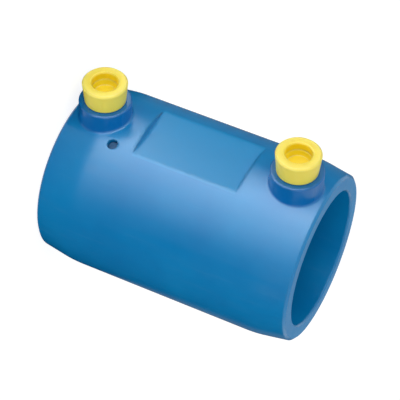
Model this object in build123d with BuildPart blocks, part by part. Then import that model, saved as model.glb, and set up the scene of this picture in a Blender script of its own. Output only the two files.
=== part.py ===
"""Electrofusion coupler for 50 mm polyethylene pipe, standing on one of its socket ends.

The bore runs up +Z from the lower mouth, and the two terminals point along -Y.
All sizes are millimetres.
"""
import os
from math import radians, cos, sin

from build123d import *

# Moulded body: a thick-walled sleeve with a pipe socket in each end
body_length = 98.0
socket_radius = 25.2            # 50 mm pipe plus the fusion gap
wall_thickness = 7.8
mouth_chamfer = 0.5             # lead-in at each mouth
end_taper_length = 12.4
end_taper_depth = 2.0
end_shoulder_radius = 45.0      # blend of the taper into the body
end_edge_chamfer = 0.8

# Pipe stop, a ring half way along the bore
stop_height = 1.6
stop_thickness = 3.0            # along the bore

# Flat panel between the terminals
panel_depth = 2.2               # below the body's crown line
panel_length = 40.0

# Terminal bosses and the shrouds round the contact pins
terminal_inset = 12.0           # terminal axis to the nearest end
boss_radius = 9.4
boss_rise = 6.2                 # boss top above the crown line
boss_foot_radius = 0.8
boss_edge_chamfer = 0.4
shroud_radius = 6.1
shroud_wall = 1.0
shroud_height = 5.0             # rim above the boss top
shroud_floor_rise = 0.4         # well floor above the crown line

# Contact pins, moulded into the wall
pin_radius = 2.0                # 4 mm terminal
pin_setback = 3.3               # tip below the shroud rim
pin_tip_chamfer = 0.5
pin_root_radius = 2.6           # part held in the plastic
pin_foot_radius = 3.2
pin_foot_thickness = 1.6
pin_foot_web = 1.4              # plastic between the foot and the winding
moulded_gap = 0.02              # plastic to a moulded-in metal piece

# Heating winding: one coated resistance wire, laid in both fusion zones
winding_start = 15.0            # outer end of a fusion zone from its mouth
winding_length = 20.0
coated_wire_diameter = 1.6
turn_pitch = 5.0
turn_groove_width = 0.4
turn_groove_depth = 0.5
lead_radius = 0.45              # stripped wire to the pins and across the middle
lead_depth = 1.1                # lead axis behind the bore surface

# Fusion indicators, one over each fusion zone
indicator_inset = 20.8          # indicator axis to the nearest end
indicator_angle = 20.0          # round the body from the terminal line
indicator_hole_radius = 1.9
indicator_hole_web = 1.2        # plastic between the hole and the winding
indicator_clearance = 0.05      # radial running fit of the pin in its hole
indicator_height = 3.3
indicator_floor_gap = 0.1
indicator_edge_chamfer = 0.3

# Push-on terminal caps
cap_base_radius = 7.3
cap_top_radius = 8.1
cap_height = 8.3
cap_rim_chamfer = 0.6
cap_foot_chamfer = 0.3
cap_skirt_clearance = 0.05      # radial, skirt on shroud
cap_headroom = 0.3              # groove roof above the shroud rim
cap_recess_radius = 4.7
cap_recess_depth = 5.3
cap_recess_floor_radius = 4.0
cap_recess_chamfer = 0.4
cap_cup_wall = 0.8
cap_cup_floor = 0.9

# Places that follow from the sizes above
body_radius = socket_radius + wall_thickness
end_radius = body_radius - end_taper_depth
middle = body_length / 2
boss_top = body_radius + boss_rise
well_radius = shroud_radius - shroud_wall
well_floor = body_radius + shroud_floor_rise
winding_radius = socket_radius + coated_wire_diameter
lead_circle = socket_radius + lead_depth
pin_foot_bottom = winding_radius + pin_foot_web
pin_tip = boss_top + shroud_height - pin_setback
indicator_floor = winding_radius + indicator_hole_web
terminals = {"lower": terminal_inset, "upper": body_length - terminal_inset}
zone_bottoms = (winding_start, body_length - winding_start - winding_length)
outward = Vector(0, -1, 0)


def terminal_plane(distance, height):
    """A plane square to a terminal, at a distance from the bore axis, facing out, x up the bore."""
    return Plane(origin=(0, -distance, height), x_dir=(0, 0, 1), z_dir=outward)


def terminal_section(height):
    """A plane through a terminal's axis: x is the radius, y the height over the boss top."""
    return Plane(origin=(0, -boss_top, height), x_dir=(1, 0, 0), z_dir=(0, 0, -1))


def terminal_axis(height):
    return Axis((0, -boss_top, height), outward)


def indicator_plane(distance, end):
    """A plane square to an indicator, which lies point-symmetric to its fellow."""
    height = indicator_inset if end == "lower" else body_length - indicator_inset
    angle = radians(indicator_angle if end == "lower" else -indicator_angle)
    out = Vector(sin(angle), -cos(angle), 0)
    return Plane(origin=out * distance + Vector(0, 0, height), x_dir=(0, 0, 1), z_dir=out)


def add_lead(end, radius, mode=Mode.ADD):
    """A wire from a zone's outer end along the bore wall, then square up to the pin's foot."""
    height = terminals[end]
    zone_edge = winding_start if end == "lower" else body_length - winding_start
    with BuildSketch(Plane(origin=(0, -lead_circle, height))) as along_bore:
        Circle(radius)
    extrude(along_bore.sketch, amount=zone_edge - height, mode=mode)
    with BuildSketch(terminal_plane(lead_circle, height)) as up_to_pin:
        Circle(radius)
    extrude(up_to_pin.sketch, amount=pin_foot_bottom - lead_circle, mode=mode)


def winding_outline(bottom):
    """Section of one fusion zone: flat-faced turns parted by fine V grooves on the bore side."""
    turns = max(1, round(winding_length / turn_pitch))
    points = [(winding_radius, bottom + winding_length), (winding_radius, bottom)]
    points.append((socket_radius, bottom))
    for turn in range(1, turns):
        seam = bottom + turn * winding_length / turns
        points.append((socket_radius, seam - turn_groove_width / 2))
        points.append((socket_radius + turn_groove_depth, seam))
        points.append((socket_radius, seam + turn_groove_width / 2))
    points.append((socket_radius, bottom + winding_length))
    return points


# Coupler body: sleeve, panel, bosses and shrouds are one moulding
with BuildPart() as coupler_body:
    with BuildSketch(Plane.XZ) as half_section:
        with BuildLine():
            Polyline(
                (0, 0),
                (end_radius, 0),
                (body_radius, end_taper_length),
                (body_radius, body_length - end_taper_length),
                (end_radius, body_length),
                (0, body_length),
                close=True,
            )
        make_face()
        corners = half_section.vertices().group_by(Axis.X)
        fillet(corners[-1], end_shoulder_radius)
        corners = half_section.vertices().group_by(Axis.Y)
        chamfer([corners[0].sort_by(Axis.X)[-1], corners[-1].sort_by(Axis.X)[-1]], end_edge_chamfer)
    revolve(axis=Axis.Z)

    with BuildSketch(terminal_plane(body_radius, middle)):
        Rectangle(panel_length, 2 * body_radius)
    extrude(amount=-panel_depth, mode=Mode.SUBTRACT)

    for height in terminals.values():
        with BuildSketch(terminal_plane(boss_top, height)):
            Circle(boss_radius)
        extrude(amount=-boss_top)
        foot = coupler_body.edges(Select.LAST).filter_by(GeomType.BSPLINE)
        fillet(foot, boss_foot_radius)
        boss_face = coupler_body.faces().sort_by_distance((0, -boss_top, height))[0]
        chamfer(boss_face.edges(), boss_edge_chamfer)

    for height in terminals.values():
        with BuildSketch(terminal_plane(boss_top, height)):
            Circle(shroud_radius)
        extrude(amount=shroud_height)
        with BuildSketch(terminal_plane(boss_top + shroud_height, height)):
            Circle(well_radius)
        extrude(amount=well_floor - boss_top - shroud_height, mode=Mode.SUBTRACT)

    # The bore, its lead-ins and the pipe stop
    with BuildSketch(Plane.XZ):
        with BuildLine():
            Polyline(
                (0, 0),
                (socket_radius + mouth_chamfer, 0),
                (socket_radius, mouth_chamfer),
                (socket_radius, middle - stop_thickness / 2),
                (socket_radius - stop_height, middle - stop_thickness / 2),
                (socket_radius - stop_height, middle + stop_thickness / 2),
                (socket_radius, middle + stop_thickness / 2),
                (socket_radius, body_length - mouth_chamfer),
                (socket_radius + mouth_chamfer, body_length),
                (0, body_length),
                close=True,
            )
        make_face()
    revolve(axis=Axis.Z, mode=Mode.SUBTRACT)

    # Seats moulded round the winding, its link and leads, and the pins
    for bottom in zone_bottoms:
        with BuildSketch(Plane.XY.offset(bottom - moulded_gap)):
            Circle(winding_radius + moulded_gap)
            Circle(socket_radius, mode=Mode.SUBTRACT)
        extrude(amount=winding_length + 2 * moulded_gap, mode=Mode.SUBTRACT)
    with BuildSketch(Plane.XY.offset(zone_bottoms[0] + winding_length)):
        with Locations((0, lead_circle)):
            Circle(lead_radius + moulded_gap)
    extrude(amount=zone_bottoms[1] - zone_bottoms[0] - winding_length, mode=Mode.SUBTRACT)
    for end, height in terminals.items():
        add_lead(end, lead_radius + moulded_gap, Mode.SUBTRACT)
        with BuildSketch(terminal_plane(pin_foot_bottom, height)):
            Circle(pin_foot_radius + moulded_gap)
        extrude(amount=pin_foot_thickness + moulded_gap, mode=Mode.SUBTRACT)
        with BuildSketch(terminal_plane(pin_foot_bottom, height)):
            Circle(pin_root_radius + moulded_gap)
        extrude(amount=well_floor - pin_foot_bottom, mode=Mode.SUBTRACT)
        with BuildSketch(indicator_plane(indicator_floor, end)):
            Circle(indicator_hole_radius)
        extrude(amount=wall_thickness, mode=Mode.SUBTRACT)

coupler_body.part.label = "coupler_body"

# Heating winding: both zones, the link across the middle and the leads are one wire
with BuildPart() as heating_winding:
    for bottom in zone_bottoms:
        with BuildSketch(Plane.XZ):
            with BuildLine():
                Polyline(winding_outline(bottom), close=True)
            make_face()
        revolve(axis=Axis.Z)
    with BuildSketch(Plane.XY.offset(zone_bottoms[0] + winding_length)):
        with Locations((0, lead_circle)):
            Circle(lead_radius)
    extrude(amount=zone_bottoms[1] - zone_bottoms[0] - winding_length)
    for end in terminals:
        add_lead(end, lead_radius)

heating_winding.part.label = "heating_winding"

# Contact pins: turned, with an anchoring foot and a chamfered tip
pins = {}
for end, height in terminals.items():
    with BuildPart() as terminal_pin:
        with BuildSketch(terminal_plane(pin_foot_bottom, height)):
            Circle(pin_foot_radius)
        extrude(amount=pin_foot_thickness)
        with BuildSketch(terminal_plane(pin_foot_bottom, height)):
            Circle(pin_root_radius)
        extrude(amount=well_floor - pin_foot_bottom)
        with BuildSketch(terminal_plane(well_floor, height)):
            Circle(pin_radius)
        extrude(amount=pin_tip - well_floor)
        tip_face = terminal_pin.faces().sort_by(terminal_axis(height))[-1]
        chamfer(tip_face.edges(), pin_tip_chamfer)
    terminal_pin.part.label = f"terminal_pin_{end}"
    pins[end] = terminal_pin.part

# Fusion indicators: short round pins that the melt pushes up out of their holes
indicators = {}
for end in terminals:
    with BuildPart() as indicator_pin:
        with BuildSketch(indicator_plane(indicator_floor + indicator_floor_gap, end)):
            Circle(indicator_hole_radius - indicator_clearance)
        extrude(amount=indicator_height)
        top_face = indicator_pin.faces().sort_by_distance(indicator_plane(body_radius, end).origin)[0]
        chamfer(top_face.edges(), indicator_edge_chamfer)
    indicator_pin.part.label = f"indicator_pin_{end}"
    indicators[end] = indicator_pin.part

# Terminal caps: a skirt round the shroud and a hollow cup inside it, joined at the top
caps = {}
for end, height in terminals.items():
    groove_roof = shroud_height + cap_headroom
    recess_floor = cap_height - cap_recess_depth
    cup_radius = cap_recess_floor_radius + cap_cup_wall
    with BuildPart() as terminal_cap:
        with BuildSketch(terminal_section(height)) as cap_section:
            with BuildLine():
                Polyline(
                    (cap_base_radius, 0),
                    (cap_top_radius, cap_height),
                    (cap_recess_radius, cap_height),
                    (cap_recess_radius, groove_roof),
                    (cap_recess_floor_radius, recess_floor),
                    (0, recess_floor),
                    (0, recess_floor - cap_cup_floor),
                    (cup_radius, recess_floor - cap_cup_floor),
                    (cup_radius, groove_roof),
                    (shroud_radius + cap_skirt_clearance, groove_roof),
                    (shroud_radius + cap_skirt_clearance, 0),
                    close=True,
                )
            make_face()
            rim = cap_section.vertices().group_by(Axis.Y)[-1].sort_by(Axis.X)
            chamfer(rim[-1], cap_rim_chamfer)
            rim = cap_section.vertices().group_by(Axis.Y)[-1].sort_by(Axis.X)
            chamfer(rim[0], cap_recess_chamfer)
            foot = cap_section.vertices().group_by(Axis.Y)[0].sort_by(Axis.X)[-1]
            chamfer(foot, cap_foot_chamfer)
        revolve(axis=terminal_axis(height))
    terminal_cap.part.label = f"terminal_cap_{end}"
    caps[end] = terminal_cap.part

os.makedirs("parts", exist_ok=True)
for part in (coupler_body.part, heating_winding.part, *pins.values(),
             *indicators.values(), *caps.values()):
    export_step(part, f"parts/{part.label}.step")
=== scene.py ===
"""An electrofusion coupler for polyethylene pipe, dressed for a studio picture.

The sections follow the coupler as it is put together: the wound wire, the moulded
body round it, the contact pins, the fusion indicators and the push-on caps.
"""
import math

import bpy
from mathutils import Matrix, Vector


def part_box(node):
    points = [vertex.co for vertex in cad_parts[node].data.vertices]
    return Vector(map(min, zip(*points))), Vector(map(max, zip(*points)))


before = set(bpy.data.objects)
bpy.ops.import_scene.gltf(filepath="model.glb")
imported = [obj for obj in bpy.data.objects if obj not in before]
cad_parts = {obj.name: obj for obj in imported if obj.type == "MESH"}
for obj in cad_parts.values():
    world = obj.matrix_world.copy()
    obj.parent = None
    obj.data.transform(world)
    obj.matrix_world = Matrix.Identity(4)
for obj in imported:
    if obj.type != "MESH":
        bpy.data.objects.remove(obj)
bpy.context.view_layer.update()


# --- Heating winding -------------------------------------------------------------------
# One resistance wire in a thin polyethylene coat, wound on a mandrel in two fusion zones
# and moulded into the bore wall. The coat fuses its turns side by side, and the wire
# shows through each one as a faint paler line.


def add_node(tree, kind, inputs=None, stops=(), **settings):
    """Adds a shader node. An input is another node's output to link, or a plain value."""
    node = tree.nodes.new(kind)
    for name, value in settings.items():
        setattr(node, name, value)
    for socket, source in (inputs or {}).items():
        if isinstance(source, bpy.types.NodeSocket):
            tree.links.new(source, node.inputs[socket])
        else:
            node.inputs[socket].default_value = source
    if stops:
        elements = node.color_ramp.elements
        while len(elements) < len(stops):
            elements.new(1.0)
        for element, (position, colour) in zip(elements, stops):
            element.position = position
            element.color = colour
    return node


def linear(hex_colour):
    """An sRGB hex colour as the linear numbers that a shader takes."""
    values = [int(hex_colour[i:i + 2], 16) / 255 for i in (1, 3, 5)]
    return [v / 12.92 if v <= 0.04045 else ((v + 0.055) / 1.055) ** 2.4 for v in values] + [1.0]


def new_material(name, **sockets):
    """A material with one Principled shader, whose sockets take plain values."""
    material = bpy.data.materials.new(name)
    material.use_nodes = True
    tree = material.node_tree
    shader = tree.nodes["Principled BSDF"]
    for socket, value in sockets.items():
        shader.inputs[socket.replace("_", " ")].default_value = value
    place = add_node(tree, "ShaderNodeTexCoord").outputs["Object"]
    return material, tree, shader, place


def dress(node, material):
    """Gives a CAD node its finish."""
    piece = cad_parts[node]
    piece.data.materials.clear()
    piece.data.materials.append(material)


def from_middle(tree, place):
    """How far a spot lies from the middle of the coupler's length, either way."""
    height = add_node(tree, "ShaderNodeSeparateXYZ", {"Vector": place}).outputs["Z"]
    above = add_node(tree, "ShaderNodeMath", {0: height, 1: mid_height}, operation="SUBTRACT")
    return add_node(tree, "ShaderNodeMath", {0: above.outputs[0]}, operation="ABSOLUTE").outputs[0]


body_low, body_high = (Vector(corner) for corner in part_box("coupler_body"))
mid_height = (body_low.z + body_high.z) / 2
zone_from_middle = 0.014
turn_pitch = 0.005 / 3
turn_rise = 0.0003
coat_cloud = 0.003
coat_grain = 0.0008
coat_grain_height = 0.00003
noise_middle = {"From Min": 0.3, "From Max": 0.7}

wire_coat, tree, shader, place = new_material("coated resistance wire", IOR=1.45, Specular_IOR_Level=0.3)
along_zone = add_node(
    tree, "ShaderNodeMath", {0: from_middle(tree, place), 1: zone_from_middle}, operation="SUBTRACT")
half_waves = add_node(
    tree, "ShaderNodeMath", {0: along_zone.outputs[0], 1: math.pi / turn_pitch}, operation="MULTIPLY")
wave = add_node(tree, "ShaderNodeMath", {0: half_waves.outputs[0]}, operation="SINE")
turn = add_node(tree, "ShaderNodeMath", {0: wave.outputs[0]}, operation="ABSOLUTE").outputs[0]
turn_colour = add_node(tree, "ShaderNodeValToRGB", {"Fac": turn}, stops=[
    (0.0, linear("#04385c")), (0.35, linear("#0a69a8")),
    (0.93, linear("#117cbd")), (1.0, linear("#4f8299"))])
tree.links.new(turn_colour.outputs["Color"], shader.inputs["Base Color"])
cloudy = add_node(tree, "ShaderNodeTexNoise", {"Vector": place, "Scale": 1 / coat_cloud})
dullness = add_node(tree, "ShaderNodeMapRange", {
    "Value": cloudy.outputs[0], **noise_middle, "To Min": 0.32, "To Max": 0.48})
tree.links.new(dullness.outputs["Result"], shader.inputs["Roughness"])
grainy = add_node(tree, "ShaderNodeTexNoise", {"Vector": place, "Scale": 1 / coat_grain})
coat_relief = add_node(tree, "ShaderNodeBump", {
    "Height": grainy.outputs[0], "Strength": 0.3, "Distance": coat_grain_height})
turn_relief = add_node(tree, "ShaderNodeBump", {
    "Height": turn, "Normal": coat_relief.outputs[0], "Strength": 1.0, "Distance": turn_rise})
tree.links.new(turn_relief.outputs[0], shader.inputs["Normal"])
dress("heating_winding", wire_coat)

# --- Coupler body ----------------------------------------------------------------------
# A thick sleeve injection-moulded in blue polyethylene over the winding, in one piece
# with its bosses and shrouds. The pigment has flowed unevenly from the gate, and the
# waxy skin has a soft gloss, a faint ripple and fine marks. The ends are trimmed dull.

pigment_flow = 0.022
shrinkage_ripple = 0.009
ripple_height = 0.00006
skin_grain = 0.0006
skin_grain_height = 0.00002
handling_mark = 0.0025
mark_stretch = 0.12
edge_softness = 0.0007
panel_edge_softness = 0.0022
clear_of_bosses = 0.027
softness_change = 0.003
panel_inset = 0.0022
panel_half_length = 0.020
panel_margin = 0.0003
panel_top_margin = 0.0001
cap_low, cap_high = (Vector(corner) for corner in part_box("terminal_cap_upper"))
terminal_from_middle = (cap_low.z + cap_high.z) / 2 - mid_height
boss_radius = 0.0094
boss_foot = 0.0008
boss_root = 0.003
panel_y = panel_inset - body_high.x


def from_terminal(tree, place):
    """How far a spot lies from the nearer terminal's axis, seen along it."""
    across = add_node(tree, "ShaderNodeSeparateXYZ", {"Vector": place}).outputs["X"]
    up_or_down = add_node(
        tree, "ShaderNodeMath", {0: from_middle(tree, place), 1: terminal_from_middle},
        operation="SUBTRACT")
    seen_along = add_node(tree, "ShaderNodeCombineXYZ", {"X": across, "Y": up_or_down.outputs[0]})
    return add_node(
        tree, "ShaderNodeVectorMath", {0: seen_along.outputs[0]}, operation="LENGTH").outputs["Value"]


blue_polyethylene, tree, shader, place = new_material(
    "injection-moulded blue polyethylene", IOR=1.45, Specular_IOR_Level=0.5, Diffuse_Roughness=0.2)
flow = add_node(tree, "ShaderNodeTexNoise", {"Vector": place, "Scale": 1 / pigment_flow, "Detail": 4.0})
pigment = add_node(tree, "ShaderNodeValToRGB", {"Fac": flow.outputs[0]}, stops=[
    (0.3, linear("#007bba")), (0.7, linear("#0487c4"))])
along = add_node(tree, "ShaderNodeMapping", {"Vector": place, "Scale": (1.0, 1.0, mark_stretch)})
marks = add_node(tree, "ShaderNodeTexNoise", {
    "Vector": along.outputs[0], "Scale": 1 / handling_mark, "Detail": 6.0}).outputs[0]
mark_mask = add_node(tree, "ShaderNodeMapRange", {
    "Value": marks, "From Min": 0.62, "From Max": 0.8, "To Min": 0.0, "To Max": 0.35})
marked = add_node(tree, "ShaderNodeMix", data_type="RGBA", inputs={
    "Factor": mark_mask.outputs["Result"], "A": pigment.outputs["Color"], "B": linear("#2c8ec4")})

# Painted light: the flat panel faces the lamps on the terminals' side and is painted a
# little paler than the sleeve. It is within its length, neither below its plane nor on
# the bosses that stand up from it.
off_middle = from_middle(tree, place)
depth = add_node(tree, "ShaderNodeSeparateXYZ", {"Vector": place}).outputs["Y"]
within_length = add_node(tree, "ShaderNodeMapRange", {
    "Value": off_middle, "From Min": panel_half_length - panel_margin, "From Max": panel_half_length,
    "To Min": 1.0, "To Max": 0.0})
not_below = add_node(tree, "ShaderNodeMath", {0: depth, 1: panel_y + panel_margin}, operation="LESS_THAN")
not_proud = add_node(tree, "ShaderNodeMapRange", {
    "Value": depth, "From Min": panel_y - panel_margin, "From Max": panel_y - panel_top_margin,
    "To Min": 0.0, "To Max": 1.0})
on_strip = add_node(
    tree, "ShaderNodeMath", {0: within_length.outputs[0], 1: not_below.outputs[0]}, operation="MULTIPLY")
on_panel = add_node(
    tree, "ShaderNodeMath", {0: on_strip.outputs[0], 1: not_proud.outputs[0]}, operation="MULTIPLY")
panel_painted_light = add_node(tree, "ShaderNodeMix", data_type="RGBA", inputs={
    "Factor": on_panel.outputs[0], "A": marked.outputs["Result"], "B": linear("#048bc7")})

# Painted shade: the bosses and their shrouds, shaded under the caps, are painted a deeper blue than the
# sleeve.
in_boss = add_node(tree, "ShaderNodeMapRange", {
    "Value": from_terminal(tree, place), "From Min": boss_radius, "From Max": boss_radius + boss_foot,
    "To Min": 1.0, "To Max": 0.0})
in_front = add_node(tree, "ShaderNodeMath", {0: depth, 1: panel_y + boss_root}, operation="LESS_THAN")
on_boss = add_node(
    tree, "ShaderNodeMath", {0: in_boss.outputs[0], 1: in_front.outputs[0]}, operation="MULTIPLY")
boss_painted_shade = add_node(tree, "ShaderNodeMix", data_type="RGBA", inputs={
    "Factor": on_boss.outputs[0], "A": panel_painted_light.outputs["Result"], "B": linear("#006ab0")})
tree.links.new(boss_painted_shade.outputs["Result"], shader.inputs["Base Color"])

skin = add_node(tree, "ShaderNodeMapRange", {
    "Value": marks, **noise_middle, "To Min": 0.19, "To Max": 0.27})
facing = add_node(tree, "ShaderNodeNewGeometry").outputs["True Normal"]
facing_up = add_node(tree, "ShaderNodeSeparateXYZ", {"Vector": facing}).outputs["Z"]
end_on = add_node(tree, "ShaderNodeMath", {0: facing_up}, operation="ABSOLUTE")
trimmed = add_node(tree, "ShaderNodeMapRange", {
    "Value": end_on.outputs[0], "From Min": 0.9, "From Max": 0.98, "To Min": 0.0, "To Max": 0.3})
roughness = add_node(
    tree, "ShaderNodeMath", {0: skin.outputs["Result"], 1: trimmed.outputs[0]}, operation="ADD")
tree.links.new(roughness.outputs[0], shader.inputs["Roughness"])

softness = add_node(tree, "ShaderNodeMapRange", {
    "Value": off_middle, "From Min": clear_of_bosses - softness_change, "From Max": clear_of_bosses,
    "To Min": panel_edge_softness, "To Max": edge_softness})
soft_edges = add_node(tree, "ShaderNodeBevel", {"Radius": softness.outputs["Result"]}, samples=4)
rippled = add_node(tree, "ShaderNodeTexNoise", {"Vector": place, "Scale": 1 / shrinkage_ripple})
ripple = add_node(tree, "ShaderNodeBump", {
    "Height": rippled.outputs[0], "Normal": soft_edges.outputs[0], "Strength": 0.5,
    "Distance": ripple_height})
grained = add_node(tree, "ShaderNodeTexNoise", {"Vector": place, "Scale": 1 / skin_grain})
grain = add_node(tree, "ShaderNodeBump", {
    "Height": grained.outputs[0], "Normal": ripple.outputs[0], "Strength": 0.35,
    "Distance": skin_grain_height})
tree.links.new(grain.outputs[0], shader.inputs["Normal"])
dress("coupler_body", blue_polyethylene)

# --- Contact pins ----------------------------------------------------------------------
# Turned brass with a thin tin plating. The lathe leaves fine rings round each pin, drawn
# here about five times coarser so that they show, and the plating dulls in patches.

turning_lines = 0.000754
turning_line_height = 0.00001
plating_cloud = 0.0015
wave_phase = 20

tinned_brass, tree, shader, place = new_material("tin-plated turned brass", Metallic=1.0)
clouds = add_node(tree, "ShaderNodeTexNoise", {
    "Vector": place, "Scale": 1 / plating_cloud, "Detail": 3.0}).outputs[0]
plating = add_node(tree, "ShaderNodeValToRGB", {"Fac": clouds}, stops=[
    (0.35, linear("#cdc7b6")), (0.7, linear("#b9a67c"))])
tree.links.new(plating.outputs["Color"], shader.inputs["Base Color"])
dulled = add_node(tree, "ShaderNodeMapRange", {
    "Value": clouds, **noise_middle, "To Min": 0.22, "To Max": 0.4})
tree.links.new(dulled.outputs["Result"], shader.inputs["Roughness"])
lathe_rings = add_node(
    tree, "ShaderNodeTexWave", {"Vector": place, "Scale": 2 * math.pi / (wave_phase * turning_lines)},
    wave_type="BANDS", bands_direction="Y")
ring_relief = add_node(tree, "ShaderNodeBump", {
    "Height": lathe_rings.outputs[1], "Strength": 0.4, "Distance": turning_line_height})
tree.links.new(ring_relief.outputs[0], shader.inputs["Normal"])
for end in ("lower", "upper"):
    dress(f"terminal_pin_{end}", tinned_brass)

# --- Fusion indicators -----------------------------------------------------------------
# Short polyethylene pins pushed into blind holes over the fusion zones, where the melt
# lifts them. Their dark blue is painted shade that deepens the shadow in the pits they
# sit in. Their cut tops are dull.

cut_mark = 0.0006
cut_mark_height = 0.00004

indicator_plastic, tree, shader, place = new_material(
    "dull dark blue polyethylene", IOR=1.45, Specular_IOR_Level=0.3)
cut_marks = add_node(tree, "ShaderNodeTexNoise", {
    "Vector": place, "Scale": 1 / cut_mark, "Detail": 4.0}).outputs[0]
# Painted shade: the pins are coloured dark blue for the shadow in their pits.
pit_shade_blue = add_node(tree, "ShaderNodeValToRGB", {"Fac": cut_marks}, stops=[
    (0.3, linear("#16456b")), (0.7, linear("#2a5f88"))])
tree.links.new(pit_shade_blue.outputs["Color"], shader.inputs["Base Color"])
dull = add_node(tree, "ShaderNodeMapRange", {
    "Value": cut_marks, **noise_middle, "To Min": 0.5, "To Max": 0.65})
tree.links.new(dull.outputs["Result"], shader.inputs["Roughness"])
cut_relief = add_node(tree, "ShaderNodeBump", {
    "Height": cut_marks, "Strength": 0.5, "Distance": cut_mark_height})
tree.links.new(cut_relief.outputs[0], shader.inputs["Normal"])
for end in ("lower", "upper"):
    dress(f"indicator_pin_{end}", indicator_plastic)

# --- Terminal caps ---------------------------------------------------------------------
# Soft low-density polyethylene, moulded in bright yellow and pushed on by hand. Light
# soaks into the thin walls. Outside the recess the walls are painted a paler yellow as
# painted light, and the rims carry a paler painted highlight still.

cap_walls_scatter = (0.0018, 0.0012, 0.0004)
cap_pigment_flow = 0.006
cap_skin_grain = 0.0005
recess_radius = 0.0047
recess_edge = 0.002
cap_edge_softness = 0.0007

yellow_polyethylene, tree, shader, place = new_material(
    "moulded yellow low-density polyethylene", IOR=1.47, Subsurface_Weight=0.3,
    Subsurface_Radius=cap_walls_scatter, Subsurface_Scale=1.0, Specular_IOR_Level=0.4)
cap_flow = add_node(tree, "ShaderNodeTexNoise", {
    "Vector": place, "Scale": 1 / cap_pigment_flow, "Detail": 3.0}).outputs[0]
yellow = add_node(tree, "ShaderNodeValToRGB", {"Fac": cap_flow}, stops=[
    (0.3, linear("#f4d91a")), (0.7, linear("#fae028"))])
# Painted light: outside the recess the walls are painted paler than the deeper yellow inside.
outside = add_node(tree, "ShaderNodeMapRange", {
    "Value": from_terminal(tree, place), "From Min": recess_radius,
    "From Max": recess_radius + recess_edge, "To Min": 0.0, "To Max": 1.0})
outer_wall_painted_light = add_node(tree, "ShaderNodeMix", data_type="RGBA", inputs={
    "Factor": outside.outputs["Result"], "A": yellow.outputs["Color"], "B": linear("#fbe65c")})
# Painted highlight: the rims are painted paler where the edge turns.
sharp = add_node(tree, "ShaderNodeNewGeometry").outputs["Normal"]
rounded = add_node(tree, "ShaderNodeBevel", {"Radius": cap_edge_softness}, samples=4).outputs[0]
edge_turn = add_node(tree, "ShaderNodeVectorMath", {0: sharp, 1: rounded}, operation="DOT_PRODUCT")
rim_painted_highlight = add_node(tree, "ShaderNodeMapRange", {
    "Value": edge_turn.outputs["Value"], "From Min": 0.8, "From Max": 0.995,
    "To Min": 0.7, "To Max": 0.0})
cap_colour = add_node(tree, "ShaderNodeMix", data_type="RGBA", inputs={
    "Factor": rim_painted_highlight.outputs["Result"], "A": outer_wall_painted_light.outputs["Result"], "B": linear("#faf0a8")})
tree.links.new(cap_colour.outputs["Result"], shader.inputs["Base Color"])
cap_dullness = add_node(tree, "ShaderNodeMapRange", {
    "Value": cap_flow, **noise_middle, "To Min": 0.36, "To Max": 0.5})
tree.links.new(cap_dullness.outputs["Result"], shader.inputs["Roughness"])
cap_grained = add_node(tree, "ShaderNodeTexNoise", {"Vector": place, "Scale": 1 / cap_skin_grain})
cap_grain = add_node(tree, "ShaderNodeBump", {
    "Height": cap_grained.outputs[0], "Normal": rounded, "Strength": 0.35,
    "Distance": skin_grain_height})
tree.links.new(cap_grain.outputs[0], shader.inputs["Normal"])
for end in ("lower", "upper"):
    dress(f"terminal_cap_{end}", yellow_polyethylene)

# --- Studio ----------------------------------------------------------------------------
# A white floor that runs out of sight, soft light from the terminals' side, a lit tray
# that the gloss mirrors, and a long lens turned on its side, because the coupler
# stands on end.

white = (1.0, 1.0, 1.0, 1.0)
black = (0.0, 0.0, 0.0, 1.0)


def white_to_camera(tree, surface, shown):
    """Shows one shader to camera, mirror and see-through rays, and the real surface to the rest."""
    path = add_node(tree, "ShaderNodeLightPath")
    seen = add_node(
        tree, "ShaderNodeMath", {0: path.outputs["Is Camera Ray"], 1: path.outputs["Is Glossy Ray"]},
        operation="MAXIMUM")
    seen_through = add_node(
        tree, "ShaderNodeMath", {0: seen.outputs[0], 1: path.outputs["Is Transmission Ray"]},
        operation="MAXIMUM")
    return add_node(
        tree, "ShaderNodeMixShader", {0: seen_through.outputs[0], 1: surface, 2: shown}).outputs[0]


# What the camera sees of the floor is mostly plain white, and the rest is paint that
# takes the coupler's shadow. The paint's strength brings an open floor back to white.
floor_half = 3.0
shadow_depth = 0.15
shadow_paint_strength = 2.2
floor_mesh = bpy.data.meshes.new("studio_floor")
floor_mesh.from_pydata(
    [(-floor_half, -floor_half, 0), (floor_half, -floor_half, 0),
     (floor_half, floor_half, 0), (-floor_half, floor_half, 0)], [], [(0, 1, 2, 3)])
floor = bpy.data.objects.new("studio_floor", floor_mesh)
floor.location.z = body_low.z
bpy.context.scene.collection.objects.link(floor)
floor_paint, tree, shader, place = new_material("white floor", Base_Color=(0.8, 0.8, 0.8, 1), Roughness=0.9)
plain_white = add_node(tree, "ShaderNodeEmission", {"Color": white, "Strength": 1.0 - shadow_depth})
shadow_paint = add_node(tree, "ShaderNodeBsdfDiffuse", {
    "Color": (shadow_paint_strength * shadow_depth,) * 3 + (1,)})
shadowed_white = add_node(
    tree, "ShaderNodeAddShader", {0: plain_white.outputs[0], 1: shadow_paint.outputs[0]})
tree.links.new(
    white_to_camera(tree, shader.outputs[0], shadowed_white.outputs[0]),
    tree.nodes["Material Output"].inputs["Surface"])
floor_mesh.materials.append(floor_paint)

ambient_strength = 0.55
world = bpy.data.worlds.new("studio")
world.use_nodes = True
bpy.context.scene.world = world
tree = world.node_tree
ambient = tree.nodes["Background"]
ambient.inputs["Color"].default_value = white
ambient.inputs["Strength"].default_value = ambient_strength
white_surround = add_node(tree, "ShaderNodeEmission", {"Color": white, "Strength": 1.0})
tree.links.new(
    white_to_camera(tree, ambient.outputs[0], white_surround.outputs[0]),
    tree.nodes["World Output"].inputs["Surface"])


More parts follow.
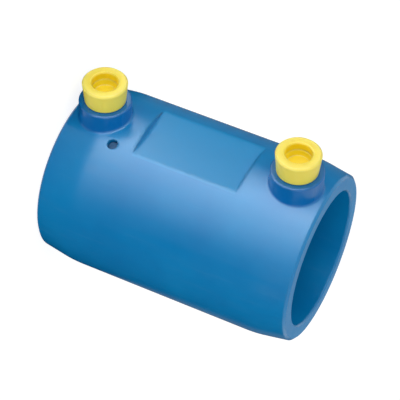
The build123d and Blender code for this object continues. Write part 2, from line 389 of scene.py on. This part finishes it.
def soft_box(name, place, side, radiance):
    """A square lamp that faces the coupler's foot, as bright as a white card times radiance."""
    lamp_data = bpy.data.lights.new(name, "AREA")
    lamp_data.shape = "RECTANGLE"
    lamp_data.size = side
    lamp_data.size_y = side
    lamp_data.energy = radiance * math.pi * side * side
    lamp = bpy.data.objects.new(name, lamp_data)
    lamp.location = place
    lamp.rotation_euler = Vector(place).to_track_quat("Z", "Y").to_euler()
    bpy.context.scene.collection.objects.link(lamp)


soft_box("key", place=(0.2, -0.95, 0.35), side=0.8, radiance=1.5)
soft_box("fill", place=(0.95, 0.0, 0.35), side=0.8, radiance=0.9)


def reflection_card(name, corners, faces, material):
    """A card that only the coupler's gloss sees, and that casts no shadow."""
    card_mesh = bpy.data.meshes.new(name)
    card_mesh.from_pydata(corners, [], faces)
    card_mesh.materials.append(material)
    card = bpy.data.objects.new(name, card_mesh)
    bpy.context.scene.collection.objects.link(card)
    card.visible_camera = False
    card.visible_diffuse = False
    card.visible_shadow = False


# The tray is a disc with an upright rim. It is brightest towards the terminals, in
# degrees round from them, and nearly dark close to the coupler's foot.
tray_shares = [(-180, 0.02), (-60, 0.02), (-41, 0.05), (-22, 0.6), (-6, 1.0), (6, 1.0), (22, 0.68),
               (41, 0.42), (55, 0.22), (70, 0.06), (88, 0.0), (180, 0.0)]
tray_radius = 0.45
tray_height = 0.18
tray_sides = 64
card_lift = 0.0005
dim_radius = 0.060
bright_radius = 0.074
dim_glow = 1.0
bright_glow = 7.5

tray_card, tree, shader, place = new_material("graded light tray", Base_Color=black, Roughness=1.0)
quarter_turn = add_node(tree, "ShaderNodeMapping", {"Vector": place, "Rotation": (0, 0, math.pi / 2)})
round_the_tray = add_node(
    tree, "ShaderNodeTexGradient", {"Vector": quarter_turn.outputs[0]}, gradient_type="RADIAL")
brightness = add_node(tree, "ShaderNodeValToRGB", {"Fac": round_the_tray.outputs["Fac"]}, stops=[
    (azimuth / 360 + 0.5, (share, share, share, 1)) for azimuth, share in tray_shares])
from_foot = add_node(tree, "ShaderNodeVectorMath", {0: place}, operation="LENGTH")
past_foot = add_node(tree, "ShaderNodeMapRange", {
    "Value": from_foot.outputs["Value"], "From Min": dim_radius, "From Max": bright_radius,
    "To Min": dim_glow, "To Max": bright_glow})
glow = add_node(tree, "ShaderNodeEmission", {
    "Color": brightness.outputs["Color"], "Strength": past_foot.outputs["Result"]})
tree.links.new(glow.outputs[0], tree.nodes["Material Output"].inputs["Surface"])
rim = [(tray_radius * math.cos(2 * math.pi * i / tray_sides),
        tray_radius * math.sin(2 * math.pi * i / tray_sides)) for i in range(tray_sides)]
following = [(i, (i + 1) % tray_sides) for i in range(tray_sides)]
reflection_card(
    "light_tray", [(x, y, z) for z in (card_lift, tray_height) for x, y in rim],
    [range(tray_sides)] + [(a, b, tray_sides + b, tray_sides + a) for a, b in following], tray_card)

# A black flag on the tray keeps glare off the lower boss.
flag_left, flag_right = -0.03, 0.009
flag_near, flag_far = -0.03, -0.075
flag_height = 2 * card_lift
black_cloth = new_material(
    "black cloth", Base_Color=(0.01, 0.01, 0.01, 1), Roughness=1.0, Specular_IOR_Level=0.0)[0]
reflection_card(
    "boss_flag",
    [(flag_left, flag_near, flag_height), (flag_right, flag_near, flag_height),
     (flag_right, flag_far, flag_height), (flag_left, flag_far, flag_height)],
    [(0, 1, 2, 3)], black_cloth)

camera_azimuth = math.radians(40.0)
camera_elevation = math.radians(17.0)
camera_roll = math.radians(110.9)
camera_distance = 0.656
aim_right = 0.00087
aim_up = 0.00392
sensor_width_mm = 36.0
focal_length_mm = 164.0
nearest_seen = 0.01

lens = bpy.data.cameras.new("studio_camera")
lens.sensor_width = sensor_width_mm
lens.lens = focal_length_mm
lens.clip_start = nearest_seen
camera = bpy.data.objects.new("studio_camera", lens)
bpy.context.scene.collection.objects.link(camera)
bpy.context.scene.camera = camera
back = Vector((
    math.sin(camera_azimuth) * math.cos(camera_elevation),
    -math.cos(camera_azimuth) * math.cos(camera_elevation),
    math.sin(camera_elevation),
))
level_right = Vector((math.cos(camera_azimuth), math.sin(camera_azimuth), 0))
level_up = back.cross(level_right)
right = math.cos(camera_roll) * level_right + math.sin(camera_roll) * level_up
up = back.cross(right)
aim = Vector((0, 0, mid_height)) + aim_right * right + aim_up * up
turned_to_coupler = Matrix((right, up, back)).transposed().to_4x4()
camera.matrix_world = Matrix.Translation(aim + camera_distance * back) @ turned_to_coupler

bpy.context.scene.view_settings.view_transform = "Standard"
